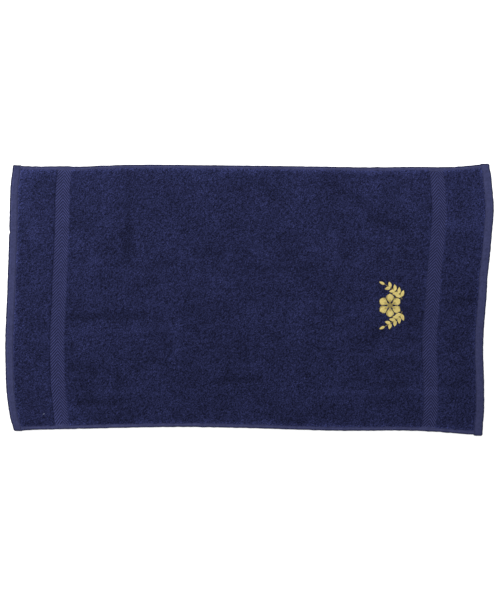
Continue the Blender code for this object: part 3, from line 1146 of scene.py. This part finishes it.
@dataclass
class TerryArea:
    """Area of looped pile from one flat woven part of the towel to the next, in one or more sheets."""

    name: str
    span: Place
    sheets: int
    cloth: Cloth
    tufts: Tufts
    spray: Spray
    seed: int
    ends: tuple[Shoulder, Shoulder]
    step: float = 0.00172
    pile_height: float = 0.0039
    tuft_depth: float = 0.0011
    tuft_middle: float = 0.72
    edge_reach: float = 0.0034
    edge_depth: float = 0.35
    pressed_flat: float = 0.75
    pale_relief: float = 2.5
    pale_flat: float = 0.6
    hem_insets: Place = (0.0106, 0.0090)
    ragged: float = 0.0014
    ragged_spacing: float = 2.2
    ragged_reach: float = 0.0025
    sway: float = 0.6
    sway_spacing: float = 9.0
    sway_seed: int = 5

    def build(self, material: bpy.types.Material) -> None:
        """Makes the area's sheets, which meet without a step.

        Args:
            material: Their finish.
        """
        line_s = evenly(*self.span, self.step)
        line_t = evenly(self.hem_insets[0], self.cloth.width - self.hem_insets[1], self.step)
        s, t = np.meshgrid(line_s, line_t, indexing="ij")
        gaps = (s - line_s[0], line_s[-1] - s, t - line_t[0], line_t[-1] - t)
        axes = (1, 1, 0, 0)
        shifts = []
        for number, (gap, axis) in enumerate(zip(gaps, axes)):
            ragged = np.clip(soft_noise(s.shape, axis, self.ragged_spacing, self.seed + number), -1.0, 1.0)
            shifts.append(self.ragged * ragged * np.exp(-gap / self.ragged_reach))
        x, y = self.cloth.place(s + shifts[0] - shifts[1], t + shifts[2] - shifts[3])
        tuft = self.tufts.at(s, t)
        fold_height, crease_painted_shade = self.cloth.creases_with_painted_shade(x, y)
        near = np.clip(np.minimum.reduce(gaps) / self.edge_reach, 0.0, 1.0)
        fall, pale = np.zeros_like(s), np.zeros_like(s)
        shoulders = (*self.ends, BESIDE_FRONT_HEM, BESIDE_BACK_HEM)
        for number, (gap, axis, shoulder) in enumerate(zip(gaps, axes, shoulders)):
            fall = np.maximum(fall, shoulder.fall(gap))
            sway = soft_noise(s.shape, axis, self.sway_spacing, self.seed + self.sway_seed + number)
            pale = pale + shoulder.pale(gap * np.exp(self.sway * sway))
        pressed = self.spray.pressed(x, y)
        depth = self.edge_depth + (1.0 - self.edge_depth) * near
        depth = self.tuft_depth * depth * (1.0 - self.pressed_flat * pressed)
        z = self.pile_height - fall + (tuft - self.tuft_middle) * depth + fold_height * near
        z = z - (self.pile_height - self.spray.pile_height) * pressed
        top = np.stack([x, y, z], axis=-1)
        normals = grid_normals(top)
        # The tufts' heights, passed to the finish as painted pit shade, raised where the pile pales by the
        # hems.
        relief_painted_shade = tuft * (1.0 - self.pale_flat * np.minimum(pale, 1.0)) + self.pale_relief * pale
        cuts = np.linspace(0, len(line_s) - 1, self.sheets + 1).astype(int)
        for number, (first, last) in enumerate(zip(cuts, cuts[1:])):
            part = slice(first, last + 1)
            name = f"{self.name}_{number + 1}" if self.sheets > 1 else self.name
            block = Block(
                name, line_s[part], line_t, top[part], np.zeros_like(z[part]),
                relief_painted_shade[part], crease_painted_shade[part], normals[part])
            sheet = block.build(material)


@dataclass
class ChevronBand:
    """Flat woven band whose ribs run in chevrons with their points towards +Y."""

    name: str
    point_line: float
    left_arm: float
    right_arm: float
    painted_light: tuple[float, float, float]
    cloth: Cloth
    seed: int
    left_border: float = 0.0010
    tuck: float = 0.0014
    pitch: float = 0.00868
    left_slope: float = 1.19
    right_slope: float = 1.38
    left_contrast: float = 1.14
    right_contrast: float = 1.38
    point_radius: float = 0.0004
    point_softness: float = 0.0026
    point_fading: float = 0.45
    height: float = 0.0022
    underside: float = 0.0004
    rib_height: float = 0.00018
    rib_end: float = 0.0020
    rib_end_start: float = 0.3
    border_relief: float = 0.60
    relief_limits: Place = (-0.02, 1.4)
    fold_share: float = 0.5
    sway: float = 0.0005
    sway_spacing: float = 14.0
    ragged: float = 0.15
    ragged_spacing: float = 5.0
    step: float = 0.00086
    hem_inset: float = 0.0090

    def build(self, material: bpy.types.Material) -> None:
        """Makes the band.

        Args:
            material: Its finish.
        """
        start = self.point_line - self.left_arm - self.left_border - self.tuck
        stop = self.point_line + self.right_arm + self.tuck
        line_s = evenly(start, stop, self.step)
        line_t = evenly(self.hem_inset, self.cloth.width - self.hem_inset, self.step)
        s, t = np.meshgrid(line_s, line_t, indexing="ij")
        x, y = self.cloth.place(s, t)
        offset = s - self.point_line
        slope = np.where(offset < 0, self.left_slope, self.right_slope)
        fall = np.hypot(offset * slope, self.point_radius) - self.point_radius
        sway = self.sway * soft_noise(s.shape, 1, self.sway_spacing, self.seed)
        wave = np.cos(2 * math.pi * (t + fall + sway) / self.pitch)
        ends = np.minimum(offset + self.left_arm, self.right_arm - offset)
        ribbed = smooth_step(ends / self.rib_end + self.rib_end_start)
        ragged = 1.0 + self.ragged * soft_noise(s.shape, 1, self.ragged_spacing, self.seed + 1)
        # The arms' contrasts differ partly as painted shade, set to how the light falls on each arm.
        ragged = ragged * np.where(offset < 0, self.left_contrast, self.right_contrast)
        ragged = ragged * (1.0 - self.point_fading * np.exp(-((offset / self.point_softness) ** 2)))
        # The ribs' heights also set the tone: darker grooves, partly the weave's floats and partly painted
        # shade.
        relief_painted_shade = ribbed * (0.5 + 0.5 * wave * ragged) + (1.0 - ribbed) * self.border_relief
        fold_height, crease_painted_shade = self.cloth.creases_with_painted_shade(x, y)
        z = self.height + self.rib_height * (2 * relief_painted_shade - 1.0) + self.fold_share * fold_height
        # Painted light: lighter or darker across the band to match how the light falls.
        relief_painted_shade = relief_painted_shade * np.interp(t, (0.0, self.cloth.width / 2, self.cloth.width), self.painted_light)
        block = Block(
            self.name, line_s, line_t, np.stack([x, y, z], axis=-1),
            np.full_like(z, self.underside), np.clip(relief_painted_shade, *self.relief_limits), crease_painted_shade)
        band = block.build(material)
        stop - start


@dataclass(frozen=True)
class HemProfile:
    """Cross-section of a folded hem: distances in from the edge, with the heights and the painted light and
    shade there.
    """

    insets: tuple[float, ...]
    tops: tuple[float, ...]
    painted_light_and_shade: tuple[float, ...]
    rim_insets: tuple[float, ...] = (0.0, 0.0002, 0.0005, 0.0010, 0.0016, 0.0022)
    rim_undersides: tuple[float, ...] = (0.0012, 0.0007, 0.0004, 0.0001, 0.0, 0.0)

    def top(self, inset: Array) -> Array:
        """Heights of the showing face."""
        return np.interp(inset, self.insets, self.tops)

    def underside(self, inset: Array) -> Array:
        """Heights of the face below."""
        return np.interp(inset, self.rim_insets, self.rim_undersides)

    def tone(self, inset: Array) -> Array:
        """Painted shade on the rolled rim and in the stitch groove, and painted highlight at the very edge.
        """
        return np.interp(inset, self.insets, self.painted_light_and_shade)

    def widened(self, extra: float) -> "HemProfile":
        """The same profile with a wider flat part."""
        rim = len(RIM_INSETS)
        insets = self.insets[:rim] + tuple(inset + extra for inset in self.insets[rim:])
        return HemProfile(insets, self.tops, self.painted_light_and_shade)


RIM_INSETS = (0.0, 0.0002, 0.0005, 0.0010, 0.0016, 0.0022, 0.0028, 0.0034, 0.0041, 0.0049)
RIM_TOPS = (0.0014, 0.0019, 0.0023, 0.0027, 0.0029, 0.0028, 0.0025, 0.0022, 0.0024, 0.0027)
# Painted shade on the rolled rim, with painted highlight at its very edge and on the flat just inside it.
RIM_PAINTED_LIGHT_AND_SHADE = (0.75, 0.70, 0.60, 0.48, 0.43, 0.42, 0.46, 0.64, 1.00, 1.10)
END_PROFILE = HemProfile(
    RIM_INSETS + (0.0070, 0.0100, 0.0130, 0.0155, 0.0170, 0.0177, 0.0184, 0.0191, 0.0198, 0.0214),
    RIM_TOPS + (0.0027, 0.0027, 0.0027, 0.0027, 0.0027, 0.0024, 0.0021, 0.0022, 0.0026, 0.0024),
    RIM_PAINTED_LIGHT_AND_SHADE + (0.95, 1.0, 1.0, 0.97, 0.95, 0.88, 0.80, 0.85, 0.90, 0.85),
)
SIDE_PROFILE = HemProfile(
    RIM_INSETS + (0.0064, 0.0078, 0.0085, 0.0092, 0.0106, 0.0130),
    RIM_TOPS + (0.0027, 0.0024, 0.0021, 0.0025, 0.0024, 0.0022),
    RIM_PAINTED_LIGHT_AND_SHADE + (1.08, 1.02, 0.92, 0.95, 0.90, 0.80),
)


@dataclass(frozen=True)
class Pucker:
    """How a seam puckers a hem: grid lines between two bends, and the change to edge, face and tone."""

    spacing: float
    bulge: float
    bulge_reach: float
    lift: float
    lift_reach: float
    tone: float

    def bulges(self, noise: Array, inset: Array) -> Array:
        """How far the edge moves in."""
        return self.bulge * noise * np.exp(-inset / self.bulge_reach)

    def lifts(self, noise: Array, inset: Array) -> Array:
        """How far the face rises."""
        return self.lift * noise * smooth_step(inset / self.lift_reach)


@dataclass
class EndHem:
    """Folded hem across one end, with rolled rims on its edge and at its two ends."""

    name: str
    cloth: Cloth
    at_left: bool
    overhangs: Place
    extra_width: float
    painted_light: tuple[float, float, float]
    seed: int
    step: float = 0.0017
    corner_radius: float = 0.0045
    lip_width: float = 0.0236
    lip_reach: float = 0.0012
    stitch_inset: float = 0.0184
    stitch_start: float = 0.004
    pucker: Pucker = Pucker(6.0, 0.00025, 0.004, 0.00010, 0.004, 0.05)

    def along_cloth(self, inset: Array) -> Array:
        """Distance from the cloth's left end for a distance in from this end."""
        return inset if self.at_left else self.cloth.length - inset

    def build(self, material: bpy.types.Material) -> None:
        """Makes the hem.

        Args:
            material: Its finish.
        """
        width = self.cloth.width
        rim = np.array(RIM_INSETS)
        profile = END_PROFILE.widened(self.extra_width)
        insets = np.array(profile.insets)
        if not self.at_left:
            insets = insets[::-1]
        middle = evenly(rim[-1], width - rim[-1], self.step)[1:-1]
        line_t = np.concatenate([rim, middle, (width - rim)[::-1]])
        inset, t = np.meshgrid(insets, line_t, indexing="ij")
        side_inset = np.minimum(t, width - t)
        bare_s, bare_t = (np.clip(self.corner_radius - bare, 0, None) for bare in (inset, side_inset))
        reach = np.maximum(np.hypot(bare_s, bare_t), TINY)
        pull = np.where(np.minimum(bare_s, bare_t) > 0, 1.0 - np.maximum(bare_s, bare_t) / reach, 0.0)
        moved_inset = inset + pull * bare_s
        moved_t = t + np.where(t < width / 2, 1.0, -1.0) * pull * bare_t
        noise = soft_noise(inset.shape, 1, self.pucker.spacing, self.seed)
        bulge = self.pucker.bulges(noise, inset)
        lip = smooth_step((self.lip_width - inset) / self.lip_reach)
        overhangs = (self.overhangs[0] * lip, self.overhangs[1] * lip)
        x, y = self.cloth.place(self.along_cloth(moved_inset + bulge), moved_t, overhangs)
        edge = np.minimum(inset, np.maximum(side_inset, 0.0))
        z = np.minimum(profile.top(inset), np.interp(side_inset, RIM_INSETS, RIM_TOPS))
        z = z + self.pucker.lifts(noise, inset)
        # Painted shade on the rolled rims and in the stitch groove, painted highlight at the very edge.
        tone = np.minimum(profile.tone(inset), np.interp(side_inset, RIM_INSETS, RIM_PAINTED_LIGHT_AND_SHADE))
        tone = tone * (1.0 + self.pucker.tone * noise)
        # Painted light: lighter or darker across the hem to match how the light falls.
        tone = tone * np.interp(t, (0.0, width / 2, width), self.painted_light)
        block = Block(
            self.name, np.sort(self.along_cloth(insets)), line_t, np.stack([x, y, z], axis=-1),
            profile.underside(edge), tone, np.zeros_like(z))
        hem = block.build(material)

    def stitch_line(self, pitch: float) -> tuple[Array, Array]:
        """Places of its row of stitches, s and t, a pitch apart."""
        t = evenly(self.stitch_start, self.cloth.width - self.stitch_start, pitch)
        return self.along_cloth(np.full_like(t, self.stitch_inset + self.extra_width)), t


@dataclass
class SideHem:
    """Narrow folded hem along one side, between the two end hems."""

    name: str
    cloth: Cloth
    at_front: bool
    painted_light: float
    seed: int
    step: float = 0.0020
    end_insets: Place = (0.0222, 0.0230)
    stitch_inset: float = 0.0085
    stitch_start: float = 0.001
    cut_width: float = 0.0140
    pucker: Pucker = Pucker(5.0, 0.00030, 0.004, 0.00012, 0.003, 0.07)

    def across_cloth(self, inset: Array) -> Array:
        """Distance from the cloth's front edge for a distance in from this edge."""
        return inset if self.at_front else self.cloth.width - inset

    def build(self, material: bpy.types.Material) -> None:
        """Makes the hem.

        Args:
            material: Its finish.
        """
        insets = np.array(SIDE_PROFILE.insets)
        if not self.at_front:
            insets = insets[::-1]
        line_s = evenly(self.end_insets[0], self.cloth.length - self.end_insets[1], self.step)
        s, inset = np.meshgrid(line_s, insets, indexing="ij")
        noise = soft_noise(s.shape, 0, self.pucker.spacing, self.seed)
        bulge = self.pucker.bulges(noise, inset)
        x, y = self.cloth.place(s, self.across_cloth(inset + bulge))
        fold_height, crease_painted_shade = self.cloth.creases_with_painted_shade(x, y)
        z = SIDE_PROFILE.top(inset) + self.pucker.lifts(noise, inset) + HEM_FOLD_SHARE * fold_height
        # Painted light: the whole hem lighter or darker to match how the light falls, times the profile's
        # painted rim and groove shade.
        tone = self.painted_light * SIDE_PROFILE.tone(inset) * (1.0 + self.pucker.tone * noise)
        block = Block(
            self.name, line_s, np.sort(self.across_cloth(insets)), np.stack([x, y, z], axis=-1),
            SIDE_PROFILE.underside(inset), tone, crease_painted_shade)
        hem = block.build(material)

    def stitch_line(self, pitch: float) -> tuple[Array, Array]:
        """Places of its row of stitches, s and t, a pitch apart."""
        first, last = self.end_insets
        s = evenly(first + self.stitch_start, self.cloth.length - last - self.stitch_start, pitch)
        return s, self.across_cloth(np.full_like(s, self.stitch_inset))


@dataclass
class StitchRow:
    """Row of lockstitches along a hem's groove."""

    name: str
    hem: EndHem | SideHem
    cloth: Cloth
    pitch: float = 0.0034
    length: float = 0.0026
    height: float = 0.0022
    thread: Thread = Thread(0.00028, 0.00035)

    def build(self, material: bpy.types.Material) -> None:
        """Makes the row.

        Args:
            material: Its thread.
        """
        x, y = self.cloth.place(*self.hem.stitch_line(self.pitch))
        fold_height, _ = self.cloth.creases_with_painted_shade(x, y)
        points = np.stack([x, y, self.height + HEM_FOLD_SHARE * fold_height], axis=-1)
        share = self.length / self.pitch
        bundle = ThreadBundle(self.name)
        for start, following in zip(points, points[1:]):
            bundle.lay(tuple(start), tuple(start + share * (following - start)), self.thread)
        bundle.build(material)


@dataclass(frozen=True)
class LintFibre:
    """Pale curl of fluff on the pile."""

    place: Place = (-0.5490, -0.3056)
    curl: tuple[Place, ...] = (
        (-0.0012, -0.0014), (-0.0005, -0.0004), (0.0004, 0.0006), (0.0014, 0.0019), (0.0022, 0.0023))
    height: float = 0.0043
    thread: Thread = Thread(0.00040, 0.0003)

    def build(self, material: bpy.types.Material) -> None:
        """Makes the fibre.

        Args:
            material: Its finish.
        """
        bundle = ThreadBundle("lint_fibre")
        points = [(self.place[0] + x, self.place[1] + y, self.height) for x, y in self.curl]
        for start, end in zip(points, points[1:]):
            bundle.lay(start, end, self.thread)
        bundle.build(material)


@dataclass(frozen=True)
class Studio:
    """Plain pale floor, soft lights at the back left and back right and a camera straight above the towel."""

    camera_place: Point = (0.0012, -0.0006, 3.555)
    lens: float = 80.0
    sensor_width: float = 36.0
    floor_half_side: float = 6.0
    floor_level: float = -0.0004
    floor_colour: Colour = (0.92, 0.92, 0.92)
    floor_roughness: float = 0.9
    floor_specular: float = 0.1
    white: Colour = (1.0, 1.0, 1.0)
    lights: tuple[tuple[Point, float], ...] = (((-1.60, 0.80, 0.55), 26.0), ((0.60, 0.95, 0.55), 6.0))
    light_side: float = 0.5
    ambient: float = 0.635
    floor_glow: float = 0.50

    def build(self) -> None:
        """Makes the floor, the lights and the camera."""
        scene = bpy.context.scene
        half = self.floor_half_side
        mesh = bpy.data.meshes.new("floor")
        corners = [(x * half, y * half, self.floor_level) for x, y in ((-1, -1), (1, -1), (1, 1), (-1, 1))]
        mesh.from_pydata(corners, [], [(0, 1, 2, 3)])
        mesh.materials.append(Graph("pale_floor").dress({
            "Base Color": (*self.floor_colour, 1.0),
            "Roughness": self.floor_roughness,
            "Specular IOR Level": self.floor_specular,
            "Emission Color": (*self.white, 1.0),
            "Emission Strength": self.floor_glow,
        }))
        floor = bpy.data.objects.new("floor", mesh)
        scene.collection.objects.link(floor)

        for place, power in self.lights:
            lamp = bpy.data.lights.new("soft_light", "AREA")
            lamp.size = self.light_side
            lamp.energy = power
            light = bpy.data.objects.new("soft_light", lamp)
            light.location = place
            aim = -np.array(place)
            light.rotation_euler = (
                math.acos(-aim[2] / np.linalg.norm(aim)), 0.0, math.atan2(aim[1], aim[0]) - math.pi / 2)
            scene.collection.objects.link(light)

        world = bpy.data.worlds.new("studio")
        world.use_nodes = True
        background = world.node_tree.nodes["Background"]
        background.inputs["Color"].default_value = (*self.white, 1.0)
        background.inputs["Strength"].default_value = self.ambient
        scene.world = world
        scene.view_settings.view_transform = "Standard"

        camera = bpy.data.objects.new("camera", bpy.data.cameras.new("camera"))
        camera.data.lens = self.lens
        camera.data.sensor_width = self.sensor_width
        camera.location = self.camera_place
        scene.collection.objects.link(camera)
        scene.camera = camera


BAND_POINTS = (0.1380, 0.1409)
BAND_SIDES = (0.0188, 0.0166)
END_HEM_WIDTHS = (0.0216, 0.0224)


def main() -> None:
    """Builds the towel piece by piece and puts it in the studio."""
    Studio().build()
    cloth, spray = Cloth(), Spray()
    tufts = Tufts(cloth)
    terry = TerryFinish().material()
    band_weave, hem_weave = (
        WovenFinish(name, colour, painted_groove_shade, thread_scale).material()
        for name, colour, painted_groove_shade, thread_scale in (
            ("navy_band_weave", (0.0418, 0.0470, 0.1370), 0.26, (900.0, 900.0, 900.0)),
            ("navy_hem_weave", (0.0405, 0.0447, 0.1125), 0.22, (900.0, 260.0, 900.0)),
        )
    )
    navy_thread = ThreadFinish("navy_thread", (0.040, 0.044, 0.110), roughness=0.6, specular=0.15).material()
    gold = ThreadFinish("gold_thread", (0.74, 0.61, 0.22)).material()
    dark_gold = ThreadFinish("dark_gold_thread", (0.34, 0.27, 0.09)).material()
    lint = ThreadFinish("lint", (0.42, 0.46, 0.60), roughness=0.9, specular=0.1).material()

    left_points, right_points = BAND_POINTS[0], cloth.length - BAND_POINTS[1]
    for name, point_line, left_arm, right_arm, painted_light, seed in (
        ("chevron_band_left", left_points + 0.0011, 0.0195, 0.0161, (1.20, 0.99, 1.00), 31),
        ("chevron_band_right", right_points + 0.0002, 0.0186, 0.0170, (1.05, 1.00, 0.90), 37),
    ):
        ChevronBand(name, point_line, left_arm, right_arm, painted_light, cloth, seed).build(band_weave)
    left_end = (END_HEM_WIDTHS[0], left_points - BAND_SIDES[0])
    middle = (left_points + BAND_SIDES[1], right_points - BAND_SIDES[0])
    right_end = (right_points + BAND_SIDES[1], cloth.length - END_HEM_WIDTHS[1])
    for name, span, sheets, seed, ends in (
        ("terry_end_left", left_end, 1, 50, (BESIDE_END_HEM, BESIDE_BAND)),
        ("terry_middle", middle, 4, 60, (BESIDE_BAND, BESIDE_BAND)),
        ("terry_end_right", right_end, 1, 70, (BESIDE_BAND, BESIDE_END_HEM)),
    ):
        TerryArea(name, span, sheets, cloth, tufts, spray, seed, ends).build(terry)
    hems = (
        EndHem(
            "end_hem_left", cloth, at_left=True, overhangs=(0.0015, 0.0014),
            extra_width=0.0022, painted_light=(1.06, 0.99, 0.80), seed=81),
        EndHem(
            "end_hem_right", cloth, at_left=False, overhangs=(0.0024, 0.0020),
            extra_width=0.0030, painted_light=(1.12, 1.05, 1.00), seed=82),
        SideHem("side_hem_front", cloth, at_front=True, painted_light=1.24, seed=83),
        SideHem("side_hem_back", cloth, at_front=False, painted_light=1.02, seed=84),
    )
    for hem in hems:
        hem.build(hem_weave)
        StitchRow(f"{hem.name}_stitches", hem, cloth).build(navy_thread)
    spray.build(gold, dark_gold)
    LintFibre().build(lint)


if __name__ == "__main__":
    logging.basicConfig(level=logging.INFO, format="%(name)s: %(message)s")
    main()
